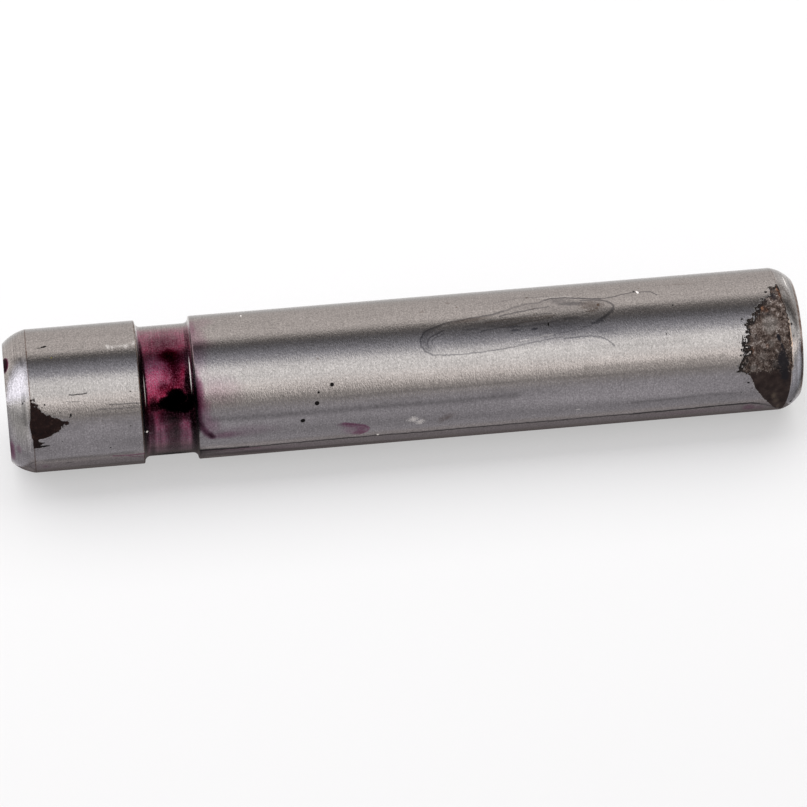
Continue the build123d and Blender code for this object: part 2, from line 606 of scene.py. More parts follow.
def strokes_of(tree, rows):
    """Many broken lines in one mask. A row is width, softness, strength and the line's points."""
    whole = None
    for width, softness, strength, points in rows:
        points = [rolled_out(*point) for point in points]
        for (start_round, start_down), (end_round, end_down) in zip(points, points[1:]):
            one = use_group(
                tree, stroke, *wandering, start_round, start_down, end_round - start_round,
                end_down - start_down, width, softness, strength,
            )
            whole = one if whole is None else math_of(tree, "MAXIMUM", whole, one)
    return whole


def marked(tree, areas, strokes, edges):
    """Marks and strokes together in one mask."""
    return math_of(tree, "MAXIMUM", marks_of(tree, areas, edges), strokes_of(tree, strokes))


def noise_of(tree, where, scale, detail, roughness):
    return wire(tree, "TexNoise", where, None, scale, detail, roughness).outputs["Fac"]


# Unevenness that every mark shares: its scale, and how far it shifts marks and strokes, in mm
coarse_scale = 0.7
speckle_scale = 4.5
mark_drift = 0.06
stroke_drift = 0.5

ground_steel = bpy.data.materials.new("ground_steel")
ground_steel.use_nodes = True
tree = ground_steel.node_tree
tree.nodes.clear()
object_place = wire(tree, "TexCoord").outputs["Object"]
position = vector_of(tree, "SCALE", object_place, None, None, 1 / mm)
across, deep, up = wire(tree, "SeparateXYZ", position).outputs
turn = math_of(tree, "ARCTAN2", across, math_of(tree, "MULTIPLY", deep, -1.0))
degrees = math_of(tree, "DEGREES", turn)
coarse = wire(tree, "TexNoise", position, None, coarse_scale, 3.0, 0.6).outputs
speckle = noise_of(tree, position, speckle_scale, 2.0, 0.7)
soft_edges = math_of(tree, "SUBTRACT", coarse["Fac"], 0.5)
crisp_edges = math_of(tree, "ADD", soft_edges, math_of(tree, "SUBTRACT", speckle, 0.5))
drift = wire(tree, "SeparateColor", coarse["Color"]).outputs
drift_round = math_of(tree, "SUBTRACT", drift[0], 0.5)
drift_down = math_of(tree, "SUBTRACT", drift[1], 0.5)
round_pin = math_of(tree, "MULTIPLY", drift_round, mark_drift)
round_pin = math_of(tree, "MULTIPLY_ADD", turn, shank_radius / mm, round_pin)
down = math_of(tree, "SUBTRACT", pin_length / mm, up)
place = (round_pin, math_of(tree, "MULTIPLY_ADD", drift_down, mark_drift, down))
wandering = (
    math_of(tree, "MULTIPLY_ADD", drift_round, stroke_drift, round_pin),
    math_of(tree, "MULTIPLY_ADD", drift_down, stroke_drift, down),
)

# Grinding marks: short fine scratches that run round the pin, and broad soft bands along it. Darker
# streaks and brighter areas in the steel's tone are painted shade and painted highlights in its
# reflected bands.
steel_colour = (0.56, 0.54, 0.53)
steel_roughness = 0.165
grain_round = 0.36
grain_along = 0.22
grain_height = 0.026
scratch_round = 3.5
scratch_along = 0.16
smear_round = 1.6
smear_along = 14.0
turned_round = 9.0
turned_along = 0.11
fine_scale = 3.2
grain_swing = 0.22
scratch_swing = 0.10
smear_swing = 0.07
speckle_swing = 0.15
fine_swing = 0.18
turned_swing = 0.22
lead_starts = (shank_radius / mm - 0.05, shank_radius / mm - 0.15)
# Painted shade: darker streaks in the steel's tone where its reflected bands run darker, along the
# shank and in short arcs round both leads
painted_shade_streaks = [
    (0.95, 1.0, 0.30, [(-8.5, 35.0), (-9.5, 44.0), (-9.5, 56.0), (-9.5, 66.0), (-10.5, 76.0),
                       (-9.5, 88.0)]),
    (0.45, 1.0, 0.24, [(-27.5, 108.0), (-26.5, 116.0), (-25, 121.0), (-26.5, 126.0)]),
    (0.50, 1.0, 0.14, [(3, 14.0), (3, 23.0)]), (0.70, 1.0, 0.26, [(-54, 12.0), (-55, 23.0)]),
    (0.80, 1.0, 0.28, [(-38, 6.0), (-37.5, 16.0), (-36, 21.0)]),
    (0.50, 0.9, 0.30, [(98, 137.7), (84, 137.7), (54, 137.7), (40, 137.7)]),
    (0.70, 0.9, 0.34, [(24, 2.9), (8, 2.9), (0, 2.9)]), (0.55, 0.9, 0.42, [(56, 2.9), (49, 3.2)]),
    (0.45, 0.9, 0.45, [(-46, 136.7), (-49, 136.6)]), (1.00, 1.0, 0.17, [(8, 100.0), (8, 124.0)]),
    (0.90, 1.0, 0.12, [(23.5, 101.0), (23.5, 118.0)]),
    (0.45, 1.0, 0.14, [(1, 56.0), (1.5, 84.0), (1, 112.0), (0, 124.0)]),
]
# Painted highlights: brighter areas in the steel's tone where its reflections run lighter, on the shank
# and on both leads
painted_highlights = [
    (-40.0, 45.0, 0.8, 14.0, 0, 1.0, 0.3, 0.30), (-39.5, 78.0, 0.9, 26.0, 0, 1.0, 0.3, 0.16),
    (-39.5, 108.0, 0.9, 16.0, 0, 1.0, 0.3, 0.20), (-16.0, 106.0, 3.6, 30.0, 0, 1.0, 0.3, 0.18),
    (-39.0, 35.5, 0.7, 4.0, 0, 0.8, 0.3, 0.35), (-60, 36.0, 0.6, 3.4, 0, 0.8, 0.3, 0.5),
    (-1.0, 80.0, 0.9, 26.0, 0, 1.0, 0.3, 0.18), (-25.0, 13.0, 1.8, 9.0, 0, 1.0, 0.3, 0.22),
    (-7.0, 16.0, 1.2, 5.0, 0, 1.0, 0.3, 0.22), (56, 135.8, 1.6, 0.8, 0, 0.8, 0.3, 1.2),
    (-58, 135.8, 1.6, 1.0, 0, 0.9, 0.3, 1.1), (-10, 137.5, 6.5, 0.7, 0, 0.8, 0.3, 0.75),
    (-18, 136.6, 5.5, 0.6, 0, 0.9, 0.3, 0.25), (10, 136.8, 3.0, 0.9, 0, 1.0, 0.3, 0.25),
    (-58, 2.7, 1.9, 1.4, 0, 0.8, 0.3, 1.9), (-12, 3.4, 5.0, 0.7, 0, 0.9, 0.3, 0.45),
    (61, 2.6, 1.4, 1.3, 0, 0.9, 0.3, 0.40), (51, 1.3, 1.7, 1.1, 0, 0.9, 0.3, 0.65),
    (38, 0.7, 1.8, 0.6, 0, 0.9, 0.3, 0.5), (-12, 0.8, 3.0, 0.7, 0, 0.9, 0.3, 0.30),
    (-27, 137.4, 2.2, 0.7, 0, 0.9, 0.3, 1.0), (47, 0.8, 2.2, 0.6, 0, 0.9, 0.3, 0.6),
    (10, 137.5, 1.8, 0.5, 0, 0.9, 0.3, 0.45),
]


def stretched(tree, round_size, along_size):
    return vector_of(tree, "MULTIPLY", position, (1 / round_size, 1 / round_size, 1 / along_size))


grain = noise_of(tree, stretched(tree, grain_round, grain_along), 1.0, 2.0, 0.6)
scratches = noise_of(tree, stretched(tree, scratch_round, scratch_along), 1.0, 2.0, 0.7)
smears = noise_of(tree, stretched(tree, smear_round, smear_along), 1.0, 3.0, 0.6)
radius = math_of(tree, "MULTIPLY_ADD", across, across, math_of(tree, "MULTIPLY", deep, deep))
radius = math_of(tree, "SQRT", radius)
on_lead = fitted(tree, radius, *lead_starts)
turned = noise_of(tree, stretched(tree, turned_round, turned_along), 1.0, 1.0, 0.5)
turned = wire(tree, "Mix", on_lead, None, 0.5, turned).outputs[0]
fine = noise_of(tree, position, fine_scale, 1.0, 0.6)
tone = fitted(tree, grain, 0.25, 0.75, 1 - grain_swing, 1 + grain_swing)
for part, swing in (
    (scratches, scratch_swing), (smears, smear_swing), (speckle, speckle_swing),
    (fine, fine_swing), (turned, turned_swing),
):
    swung = fitted(tree, part, 0.25, 0.75, 1 - swing, 1 + swing)
    tone = math_of(tree, "MULTIPLY", tone, swung)
# Painted shade and painted highlights in the steel's reflected bands go into its tone
outside_painted_shade = math_of(tree, "SUBTRACT", 1.0, strokes_of(tree, painted_shade_streaks))
tone = math_of(tree, "MULTIPLY", tone, outside_painted_shade)
tone = math_of(tree, "MULTIPLY_ADD", tone, marks_of(tree, painted_highlights, soft_edges), tone)
steel = [math_of(tree, "MULTIPLY", tone, part) for part in steel_colour]
steel = wire(tree, "CombineColor", *steel).outputs[0]

# Violet dye: a film whose colour deepens with its thickness, thickest as a black pool in the groove
dye_tint = (0.80, 0.37, 0.52)
thin_dye_tint = (0.68, 0.42, 0.56)
groove_middle = 27.8
groove_reach = 4.45
clear_of_face = (9.5, 10.1)
spilt_dye = 1.3
spilt_soot = 0.8
deepest_dye = 6.0
dye_start = -62.0
dye_end = 98.0
dye_by_turn = [
    (-62, 0.1), (-54, 0.25), (-46, 0.42), (-38, 0.6), (-30, 0.9), (-22, 1.05), (-14, 1.4),
    (-6, 1.9), (2, 2.5), (10, 3.0), (18, 2.2), (26, 1.7), (34, 1.7), (42, 1.5), (50, 1.6),
    (58, 1.65), (66, 1.2), (74, 0.95), (82, 0.6), (90, 0.1), (98, 0.0),
]
dye_pools = [
    (50, 28.3, 2.1, 2.6, 0, 1.0, 0.7, 3.6), (40, 29.0, 2.6, 1.8, 8, 1.0, 0.8, 2.4),
    (28, 29.6, 2.6, 2.2, 6, 1.0, 0.8, 1.8), (38, 30.6, 3.4, 0.9, 0, 1.0, 0.6, 1.6),
    (33, 27.4, 2.8, 0.9, 0, 1.0, 0.8, 0.6), (50, 29.2, 1.8, 3.0, 0, 1.0, 0.6, 1.2),
    (19, 28.2, 1.8, 3.6, 0, 1.0, 1.2, 1.6),
]
dye_spill = [
    (55, 32.9, 8.6, 3.1, 0, 1.0, 0.4, 0.55), (74, 32.7, 4.0, 1.0, 0, 0.9, 0.5, 0.45),
    (14, 32.9, 4.6, 1.4, 0, 1.0, 0.5, 1.9), (0, 33.3, 3.6, 2.2, 0, 1.0, 0.5, 0.8),
    (-14, 34.5, 2.6, 2.6, 0, 1.0, 0.5, 0.55), (-25, 36.8, 1.2, 5.0, 0, 1.0, 0.5, 0.55),
    (-22, 40.0, 2.0, 8.5, 0, 1.0, 0.5, 0.22), (14, 36.0, 4.0, 6.0, 0, 1.0, 0.5, 0.28),
    (54, 34.5, 1.8, 3.6, 0, 1.0, 0.5, 0.18), (82, 35.0, 2.6, 2.4, 0, 1.0, 0.5, 0.20),
]
spill_edge = [
    (0.85, 1.0, 1.0, [(17, 32.4), (10, 32.5), (2, 32.6), (-10, 32.7), (-16, 33.1), (-21, 33.8),
                      (-25.5, 34.8)]),
]
dye_smudges = [
    (57, 0.3, 2.1, 0.6, 0, 0.35, 0.6, 4.5), (-34, 0.3, 4.4, 0.7, 0, 0.8, 0.6, 1.5),
    (-26, 1.5, 1.6, 0.6, 0, 0.8, 0.6, 0.5), (-48, 5.8, 1.2, 1.0, 0, 1.0, 0.5, 0.35),
    (-25.5, 58.6, 0.8, 2.6, -9, 0.8, 0.4, 0.85), (-30.5, 60.8, 1.3, 1.5, 0, 0.8, 0.4, 0.70),
    (-35.3, 60.3, 0.8, 1.6, 10, 0.8, 0.4, 0.95), (-31, 59.3, 1.9, 2.9, 0, 0.8, 0.5, 0.40),
    (-52, 42.0, 2.4, 14.0, 0, 1.0, 0.5, 0.25), (-50, 128.8, 1.7, 1.6, 0, 0.8, 0.6, 0.75),
    (-52, 130.6, 1.6, 1.4, 0, 0.8, 0.6, 0.35), (-49, 118.0, 1.4, 9.0, 0, 1.0, 0.5, 0.18),
]
dye_and_shadow_line_strokes = [
    (0.35, 0.8, 0.9, [(-39.8, 17.6), (-40.4, 20.0), (-40.0, 23.0)]),
    (0.30, 0.8, 0.6, [(-40, 19.4), (-44, 21.5), (-46, 23.0)]),
    (0.34, 0.8, 0.75, [(-23.2, 57.4), (-24.6, 59.4), (-27.4, 61.2), (-31, 61.9), (-34.6, 61.6),
                       (-37.6, 60.3)]),
    # The last stroke is the thick left end of the painted underside line: a painted reflection of the
    # pin's shadow edge
    (0.45, 0.9, 0.5, [(-43.5, 33.0), (-45.0, 38.0), (-46.0, 43.0)]),
]

# Soot and dried oil carried in the dye, which only darken: density of the film. The same marks
# also paint shade into the groove's corners, the top and bottom of its floor and the pin's lower side
soot_and_shade_marks = [
    (64, 27.6, 3.6, 5.0, 0, 1.0, 0.5, 0.95), (49, 28.4, 1.9, 2.3, 0, 1.0, 0.8, 1.9),
    (38, 29.2, 2.6, 1.5, 8, 1.0, 0.8, 1.6), (28, 29.2, 2.4, 1.5, 0, 1.0, 0.9, 1.1),
    (20, 28.2, 1.8, 3.4, 0, 0.9, 1.2, 0.9), (9.5, 25.0, 1.5, 1.1, 0, 0.9, 1.4, 1.3),
    (4.5, 25.4, 1.3, 2.0, 0, 0.7, 0.5, 2.4), (-4, 24.5, 1.4, 0.8, 0, 0.9, 0.4, 0.8),
    (-30, 25.8, 4.5, 0.8, 0, 1.0, 0.3, 0.35), (-30, 30.2, 3.4, 0.8, 0, 1.0, 0.3, 0.35),
    (33, 31.2, 3.6, 0.6, 0, 0.9, 0.4, 1.3), (17, 30.6, 1.4, 1.4, 0, 0.9, 0.8, 1.3),
    (-10, 33.2, 2.2, 1.0, 0, 0.9, 0.4, 0.45), (6.5, 27.5, 1.7, 1.9, 0, 0.5, 0.9, 5.0),
    (22, 30.9, 2.4, 0.8, 0, 0.9, 0.6, 1.5), (46, 30.4, 1.8, 1.3, 0, 1.0, 0.6, 1.1),
    (44, 28.8, 1.4, 1.6, 0, 1.0, 0.8, 1.0), (24, 27.0, 1.6, 1.4, 0, 1.0, 0.8, 0.6),
    (32, 30.0, 3.4, 1.4, 0, 1.0, 0.6, 0.5), (-20, 28.9, 6.0, 0.8, 0, 1.0, 0.3, 0.9),
    (-11, 26.2, 1.2, 0.9, 0, 1.0, 0.3, 0.6), (-61, 28.0, 1.6, 5.4, 0, 1.0, 0.3, 2.6),
    (80, 28.2, 2.4, 2.0, 0, 1.0, 0.3, 0.22), (53, 33.6, 1.3, 2.6, 0, 1.0, 0.4, 0.20),
    (-46, 32.7, 1.6, 0.4, 0, 0.8, 0.4, 0.9), (-14, 32.6, 2.2, 0.5, 0, 0.8, 0.4, 1.1),
    (34, 28.0, 2.8, 1.6, 0, 1.0, 0.6, 0.6), (-50, 33.0, 3.6, 1.2, 0, 1.0, 0.3, 0.60),
    (-53, 41.0, 1.2, 9.0, 0, 1.0, 0.3, 0.75), (14, 33.1, 3.4, 1.1, 0, 1.0, 0.4, 0.55),
    (-24, 34.6, 1.1, 0.9, 20, 1.0, 0.4, 0.55), (7.0, 29.6, 2.3, 3.2, 0, 0.4, 0.7, 6.0),
    (12.5, 29.0, 2.0, 1.9, 0, 0.4, 0.9, 5.0), (1.5, 30.6, 1.3, 1.3, 0, 0.5, 0.5, 4.0),
    (-4, 28.3, 2.2, 3.4, 0, 0.7, 0.6, 2.4), (-5, 30.9, 2.2, 0.9, 0, 0.9, 0.4, 1.6),
    (-16, 28.2, 4.6, 2.0, 0, 1.0, 0.5, 1.9), (-32, 28.2, 6.0, 1.9, 0, 1.0, 0.5, 1.35),
    (-46, 28.3, 4.0, 4.5, 0, 1.0, 0.5, 0.5), (-61, 28.0, 2.2, 5.4, 0, 1.0, 0.3, 1.8),
    (-12, 24.5, 4.0, 1.0, 0, 1.0, 0.3, 1.9), (-32, 24.5, 6.0, 0.9, 0, 1.0, 0.3, 0.9),
    (-52, 24.5, 5.0, 0.9, 0, 1.0, 0.3, 0.9), (12, 23.5, 15.0, 0.85, 0, 0.6, 0.3, 3.4),
    (4, 31.95, 13.0, 0.85, 0, 0.6, 0.3, 3.2), (48, 31.4, 3.4, 0.6, 0, 0.9, 0.3, 1.1),
    (24, 31.2, 3.4, 0.65, 0, 0.8, 0.3, 2.4), (-12, 31.4, 3.6, 0.6, 0, 0.9, 0.3, 1.1),
    (66, 31.9, 5.0, 0.8, 0, 0.8, 0.3, 1.1), (-42, 31.8, 7.0, 0.8, 0, 0.8, 0.3, 1.5),
    (-46, 34.5, 1.7, 3.0, 0, 0.9, 0.4, 0.55), (-53, 35.0, 1.4, 4.0, 0, 0.9, 0.4, 0.45),
    (-56.5, 50.0, 1.0, 24.0, 0, 0.9, 0.4, 0.50), (57, 0.25, 2.3, 0.5, 0, 0.4, 0.6, 1.6),
    (24, 32.7, 2.8, 0.5, 0, 0.9, 0.4, 0.9), (10, 38.0, 1.2, 7.0, 0, 1.0, 0.5, 0.20),
]

on_floor = math_of(tree, "COMPARE", down, groove_middle, groove_reach)
floor_dye = ramp_of(tree, fitted(tree, degrees, dye_start, dye_end), [
    ((turn_at - dye_start) / (dye_end - dye_start), (depth / deepest_dye,) * 3)
    for turn_at, depth in dye_by_turn
])
mottled = fitted(tree, speckle, 0.3, 0.7, 0.45, 1.55)
mottled = math_of(tree, "MULTIPLY", mottled, fitted(tree, soft_edges, -0.2, 0.2, 0.8, 1.2))
pooled = marks_of(tree, dye_pools, soft_edges, "ADD")
in_groove = math_of(tree, "MULTIPLY_ADD", floor_dye, deepest_dye, pooled)
in_groove = math_of(tree, "MULTIPLY", math_of(tree, "MULTIPLY", in_groove, mottled), on_floor)
outside = marks_of(tree, dye_spill + dye_smudges, soft_edges, "ADD")
outside = math_of(tree, "ADD", outside, strokes_of(tree, dye_and_shadow_line_strokes))
spilt = strokes_of(tree, spill_edge)
outside = math_of(tree, "MULTIPLY_ADD", spilt, spilt_dye, outside)
outside = math_of(tree, "MULTIPLY", outside, math_of(tree, "SUBTRACT", 1.0, on_floor))
off_face = between(tree, math_of(tree, "ADD", radius, soft_edges), *clear_of_face)
outside = math_of(tree, "MULTIPLY", outside, off_face)
# Soot density, with the painted shade of the groove's corners and the pin's lower side
soot_and_shade = marks_of(tree, soot_and_shade_marks, soft_edges, "ADD")
soot_and_shade = math_of(tree, "MULTIPLY_ADD", spilt, spilt_soot, soot_and_shade)
soot_and_shade = math_of(tree, "MULTIPLY", math_of(tree, "MULTIPLY", soot_and_shade, mottled), off_face)
clear = math_of(tree, "EXPONENT", math_of(tree, "MULTIPLY", soot_and_shade, -1.0))
film = []
for deep_part, thin_part in zip(dye_tint, thin_dye_tint):
    part = math_of(tree, "MULTIPLY", math_of(tree, "POWER", deep_part, in_groove), clear)
    film.append(math_of(tree, "MULTIPLY", math_of(tree, "POWER", thin_part, outside), part))
film = wire(tree, "CombineColor", *film).outputs[0]
steel = blend_of(tree, 1.0, steel, film, "MULTIPLY")

# Oil film with a tide line round it, which darkens the steel and dulls its sheen
oil_colour = (0.10, 0.10, 0.115)
brown_oil_colour = (0.13, 0.088, 0.062)
oil_strength = 1.35
oil_most = 0.9
oil_strokes = [
    (0.90, 0.9, 0.26, [(51.5, 74.4), (48, 73.0), (43, 72.4), (38, 72.5), (33.5, 73.2)]),
    (0.24, 0.7, 0.50, [(52, 74.4), (48, 72.6), (43, 71.8), (37, 71.8), (32, 72.5), (29, 73.6)]),
    (0.20, 0.7, 0.45, [(34.5, 73.0), (38.5, 72.9), (42.5, 73.4), (46, 74.6), (48, 76.0)]),
    (0.16, 0.7, 0.35, [(37, 73.8), (40.5, 73.8), (43.6, 74.6), (45.6, 76.0)]),
    (0.34, 0.8, 0.46, [(51.5, 74.2), (55, 76.4), (57, 79.0), (58.6, 82.4), (60.5, 85.2),
                       (62.5, 86.8)]),
    (0.40, 0.9, 0.34, [(62.5, 86.8), (65, 88.2), (67.6, 90.0), (68.8, 91.6), (69.3, 93.4),
                       (71.8, 94.3)]),
    (0.24, 0.8, 0.48, [(57.8, 86.0), (59.4, 87.6), (61, 90.0), (62.6, 92.2), (63.6, 94.6)]),
    (0.28, 0.8, 0.60, [(71.8, 94.3), (73.4, 95.4), (73.2, 97.4), (71.4, 99.4), (69.2, 101.8),
                       (67.6, 104.0)]),
    (0.30, 0.8, 0.50, [(67.6, 100.4), (67.0, 102.6), (65.4, 104.3), (63, 105.4), (59.5, 106.0),
                       (56, 105.8)]),
    (0.55, 0.9, 0.50, [(56, 105.8), (53.5, 105.3), (50.5, 104.6), (47.5, 103.6), (44.5, 102.6)]),
    (0.22, 0.8, 0.35, [(44.5, 102.6), (42, 101.4), (40, 99.6), (38.4, 97.0), (36.4, 93.4),
                       (35, 90.6)]),
    (0.18, 0.8, 0.45, [(32.8, 96.6), (33.4, 99.0), (33.2, 101.2), (31.8, 102.9), (29.0, 104.2),
                       (24, 105.2)]),
    (0.20, 0.8, 0.40, [(29, 73.6), (27.6, 75.6), (27.3, 79.4), (28.0, 83.6), (29.4, 87.2)]),
    (0.20, 0.8, 0.32, [(29.4, 87.2), (31.2, 90.0), (33.0, 93.0), (34.6, 96.4)]),
    (0.24, 0.9, 0.30, [(50.5, 80.0), (52.5, 85.0), (55.5, 90.0), (56.5, 95.0)]),
    (0.22, 0.9, 0.40, [(45.0, 82.5), (47.0, 86.0), (46.0, 90.0), (48.5, 96.0)]),
    (0.18, 0.9, 0.25, [(73.4, 85.5), (76.8, 88.0), (77.7, 89.9), (77.4, 91.2), (76.6, 95.0)]),
    (0.22, 0.8, 0.50, [(67.6, 104.0), (68.8, 106.0), (71.0, 108.0), (72.4, 109.6), (72.4, 111.2),
                       (71.2, 112.9), (67, 113.8)]),
]
oil_areas = [
    (69.3, 96.6, 1.20, 2.5, -8, 0.7, 0.8, 0.34), (67.5, 98.6, 1.1, 2.4, -8, 0.9, 0.8, 0.28),
    (65.0, 98.8, 0.8, 4.4, -6, 0.7, 0.6, 0.48), (62.0, 97.0, 1.6, 8.0, 0, 1.0, 0.6, 0.18),
    (61.0, 102.6, 1.5, 3.2, -6, 0.8, 1.2, 0.30), (54.0, 110.5, 1.1, 7.0, 0, 1.0, 0.6, 0.26),
    (56.0, 104.2, 0.9, 3.0, 0, 1.0, 0.8, 0.24), (65.0, 91.0, 1.1, 4.5, 11, 0.5, 0.4, 0.14),
    (38.0, 80.0, 2.4, 7.5, 0, 0.8, 0.5, 0.14), (43, 96.0, 2.4, 9.5, 0, 0.9, 0.6, 0.26),
    (37, 104.0, 1.3, 3.6, -6, 0.9, 0.8, 0.22), (52, 84.0, 1.4, 12.0, 0, 1.0, 0.6, 0.20),
    (43.5, 79.5, 0.25, 0.5, 0, 0.8, 0.8, 0.50), (44, 82.2, 0.2, 0.9, 0, 0.8, 0.8, 0.40),
    (46.8, 88.0, 0.4, 1.6, 4, 0.8, 1.2, 0.50), (43.4, 88.4, 0.3, 1.8, 0, 0.8, 1.4, 0.50),
    (43.2, 91.7, 0.32, 1.1, 0, 0.7, 1.0, 0.65), (44.0, 102.0, 0.32, 0.7, 0, 0.7, 0.8, 0.60),
    (45.4, 103.5, 0.3, 0.5, 0, 0.8, 0.8, 0.55), (47.6, 80.5, 0.35, 2.4, 0, 0.9, 1.2, 0.30),
    (50, 98.5, 0.5, 2.6, 0, 0.9, 0.8, 0.35), (49.0, 84.5, 0.4, 2.2, 0, 0.9, 1.2, 0.35),
]
brown_oil_areas = [
    (56.2, 80.6, 0.65, 5.6, 5, 0.9, 0.5, 0.36), (53.0, 90.0, 0.80, 7.4, 3, 1.0, 0.8, 0.12),
    (61.0, 102.4, 1.6, 3.2, -6, 0.9, 1.2, 0.30), (61.3, 103.3, 0.5, 0.40, 0, 0.7, 0.6, 0.85),
    (57.8, 103.0, 0.34, 0.4, 0, 0.8, 0.6, 0.60), (59.6, 100.8, 0.6, 0.5, 0, 0.8, 0.8, 0.40),
    (55.5, 102.0, 0.4, 1.6, 0, 0.8, 0.8, 0.40), (62.8, 91.9, 0.2, 0.4, 0, 0.8, 0.6, 0.30),
    (56.5, 92.0, 0.2, 0.3, 0, 0.8, 0.6, 0.40),
]
brown_oil_strokes = [
    (0.30, 0.8, 0.26, [(52.5, 83.5), (54, 87.0), (53.4, 91.0), (54.2, 95.5)]),
    (0.28, 0.8, 0.30, [(47.5, 86.0), (49.5, 89.5), (51.5, 93.0), (53.0, 95.0)]),
]
for areas, strokes, colour in (
    (oil_areas, oil_strokes, oil_colour),
    (brown_oil_areas, brown_oil_strokes, brown_oil_colour),
):
    oil = math_of(tree, "MULTIPLY", marked(tree, areas, strokes, crisp_edges), oil_strength)
    steel = blend_of(tree, math_of(tree, "MINIMUM", oil, oil_most), steel, colour)

# Handling: grease dots and streaks, brown stains, and pale dried specks. The grease also draws a
# painted reflection, the dark line along the underside where the pin's shadow on the table shows
# in the steel, and the pale specks take in thin painted highlights in the groove's corners and at
# the plain lead's shoulder
grease_marks = [
    (65.5, 7.1, 0.26, 0.6, 12, 0.35, 0.8, 1.0), (64.6, 6.3, 0.14, 0.7, -6, 0.5, 0.9, 0.8),
    (75, 3.2, 0.12, 0.4, 0, 0.6, 0.5, 0.5), (95, 3.1, 1.2, 0.12, 0, 0.8, 0.8, 0.4),
    (20.0, 21.3, 0.16, 0.22, 0, 0.5, 0.4, 0.8), (12.0, 55.9, 0.40, 0.41, 0, 0.22, 0.15, 1.0),
    (-2.2, 53.1, 0.45, 0.46, 0, 0.22, 0.15, 1.0), (-16.8, 50.5, 0.42, 0.48, 20, 0.22, 0.2, 1.0),
    (6.6, 53.5, 0.24, 0.24, 0, 0.3, 0.1, 1.0), (-28, 17.2, 0.2, 0.16, 0, 0.4, 0.3, 0.9),
    (-8, 20.9, 0.22, 0.18, 0, 0.5, 0.3, 0.7), (-17, 9.0, 0.16, 0.14, 0, 0.5, 0.3, 0.8),
    (-44, 9.9, 0.16, 1.1, 3, 0.7, 0.8, 0.7), (-45.6, 9.3, 0.12, 0.6, 0, 0.7, 0.8, 0.6),
    (66, 39.4, 0.3, 0.18, 0, 0.8, 0.4, 0.4), (46.4, 94.2, 0.42, 0.24, 0, 0.35, 0.3, 1.0),
    (41.2, 87.7, 0.17, 0.17, 0, 0.5, 0.3, 0.9), (54.5, 116.2, 0.2, 0.2, 0, 0.5, 0.3, 0.9),
    (29.9, 114.4, 0.2, 0.2, 0, 0.5, 0.3, 0.8), (57.2, 92.4, 0.16, 0.16, 0, 0.5, 0.3, 0.6),
    (73.6, 110.0, 0.3, 0.25, 0, 0.5, 0.4, 0.8), (77.3, 91.3, 0.22, 0.3, 0, 0.6, 0.4, 0.6),
    (-40.8, 63.0, 0.14, 0.16, 0, 0.5, 0.3, 0.8), (30, 136.4, 0.34, 0.26, 0, 0.5, 0.4, 0.9),
    (20, 136.6, 0.3, 0.18, 0, 0.6, 0.4, 0.7), (-50, 136.4, 1.0, 0.45, 15, 0.8, 0.4, 0.85),
    (-44, 136.9, 1.0, 0.3, 10, 0.9, 0.4, 0.5), (7, 2.3, 1.1, 1.0, 0, 0.6, 0.3, 0.26),
    (-30, 2.6, 1.6, 0.8, 0, 1.0, 0.6, 0.25), (36.8, 127.8, 0.2, 0.26, 0, 0.4, 0.4, 1.0),
    (-16.5, 128.3, 0.22, 0.3, 0, 0.4, 0.6, 1.0), (-22.5, 129.0, 0.2, 0.14, 0, 0.5, 0.4, 0.8),
    (-26, 127.1, 0.18, 0.14, 0, 0.5, 0.4, 0.8), (5.0, 10.8, 0.36, 0.22, 0, 0.4, 0.5, 1.0),
    (3.4, 10.6, 0.2, 0.16, 0, 0.5, 0.5, 0.8), (15, 6.5, 0.2, 0.2, 0, 0.4, 0.5, 1.0),
    (13, 6.0, 0.16, 0.14, 0, 0.4, 0.5, 1.0), (17.5, 2.8, 0.34, 0.16, 0, 0.6, 0.9, 0.9),
    (19, 3.1, 0.16, 0.12, 0, 0.6, 0.9, 0.8), (-17.3, 5.2, 0.2, 1.1, 0, 0.5, 1.2, 1.0),
    (-20.6, 5.6, 0.24, 1.5, 3, 0.5, 1.2, 1.0),
]
grease_and_shadow_line_strokes = [
    (0.17, 0.7, 0.80, [(21, 10.8), (21.4, 13.8)]), (0.12, 0.8, 0.45, [(16, 10.2), (15.6, 12.6)]),
    (0.18, 0.8, 0.55, [(10.8, 17.5), (10.2, 23.0)]),
    (0.20, 0.9, 0.50, [(7.6, 15.4), (7.4, 19.2), (7.0, 22.8)]),
    (0.12, 0.9, 0.30, [(-37.2, 4.4), (-36.6, 9.5), (-36.8, 14.0)]),
    (0.14, 0.7, 0.55, [(-37.5, 4.4), (-40, 3.5), (-45, 3.1), (-50, 3.3), (-54, 3.9)]),
    # The strokes from here on are a painted reflection: the dark line along the underside, where the
    # edge of the pin's shadow on the table shows in the steel
    (0.55, 0.8, 0.88, [(-42.6, 32.7), (-43.2, 36.0), (-43.6, 41.0)]),
    (0.50, 0.9, 0.40, [(-46.0, 32.7), (-46.2, 36.0), (-47.4, 40.0)]),
    (0.30, 0.7, 0.80, [(-43.6, 41.0), (-43.0, 47.0), (-42.4, 58.0), (-43.0, 70.0), (-42.6, 80.0),
                       (-42.7, 90.0)]),
    (0.30, 0.7, 0.75, [(-42.7, 90.0), (-43.4, 95.0), (-42.5, 100.0), (-42.8, 108.0)]),
    (0.38, 0.7, 0.85, [(-42.8, 108.0), (-42.5, 115.0), (-41.9, 121.0), (-41.5, 126.0),
                       (-41.9, 129.0), (-43.4, 130.6)]),
    (0.42, 0.8, 0.55, [(-43.8, 130.6), (-47.0, 131.9), (-52.0, 133.2), (-58.0, 134.0)]),
]
